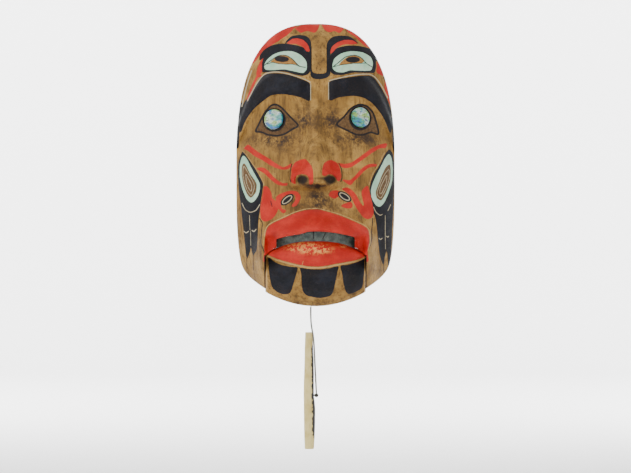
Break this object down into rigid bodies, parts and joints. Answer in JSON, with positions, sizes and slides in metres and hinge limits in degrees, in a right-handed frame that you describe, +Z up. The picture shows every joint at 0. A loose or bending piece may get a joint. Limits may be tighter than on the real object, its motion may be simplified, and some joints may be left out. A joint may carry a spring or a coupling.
{
  "type": "carved wooden mask",
  "caption": "Carved and painted wooden face mask with shell eyes, a hinged lower jaw drawn shut by a rubber band, and a cord with a whittled stick that pulls it open.",
  "frame": {"origin": "mouth of the blind hanging hole in the back of the top rim", "axes": "+Z up, +Y out of the back rim towards the wall, -Y the way the face looks, +X to the viewer's right"},
  "size_m": [0.1744, 0.1211, 0.4674],
  "materials": {
    "mask_wood": "oiled wood with worn black, red and green paint",
    "jaw_wood": "oiled wood with worn red and black paint",
    "shell": "polished iridescent sea shell",
    "strip_wood": "worn grey-green paint",
    "plain_wood": "bare wood",
    "steel": "dull, slightly rusted",
    "brass": "tarnished",
    "rubber": "aged rubber",
    "cord": "grey twisted cord",
    "stick_wood": "whittled, with a strip of dark bark"
  },
  "bodies": {
    "mask": {"mask_shell": "mask_wood", "eye_disc_left": "shell", "eye_disc_right": "shell", "hinge_block_left": "plain_wood", "hinge_block_right": "plain_wood", "hinge_rod": "steel", "rod_spacers": "plain_wood", "band_screw_upper": "steel", "return_band": "rubber"},
    "lower_jaw": {"jaw": "jaw_wood", "jaw_arm_left": "plain_wood", "jaw_arm_right": "plain_wood", "arm_screws": "steel", "tooth_strip": "strip_wood", "strip_tacks": "brass", "band_screw_lower": "steel", "cord_eye": "steel"},
    "cord_tie": {"cord_top_knot": "cord"},
    "cord": {"pull_cord": "cord", "cord_end_knot": "cord"},
    "stick": {"pull_handle": "stick_wood"}
  },
  "joints": [
    {"name": "jaw_hinge", "type": "hinge", "parent": "mask", "child": "lower_jaw", "pos_m": [0, -0.02, -0.245], "axis": [1, 0, 0], "range_deg": [0, 16], "stiffness_Nm_per_rad": 0.3, "springref_deg": -25.78, "deforming": ["return_band"]},
    {"name": "cord_plumb", "type": "hinge", "parent": "lower_jaw", "child": "cord_tie", "pos_m": [-0.0052, -0.05, -0.2955], "axis": [1, 0, 0], "range_deg": [-16, 0]},
    {"name": "cord_swing", "type": "hinge", "parent": "cord_tie", "child": "cord", "pos_m": [-0.0052, -0.05, -0.2955], "axis": [0, 1, 0], "range_deg": [-10, 10]},
    {"name": "stick_turn", "type": "hinge", "parent": "cord", "child": "stick", "pos_m": [0, -0.0506, -0.4005], "axis": [1, 0, 0], "range_deg": [-60, 60]}
  ],
  "couplings": [
    {"joint": "cord_plumb", "follows": "jaw_hinge", "ratio": -1}
  ]
}
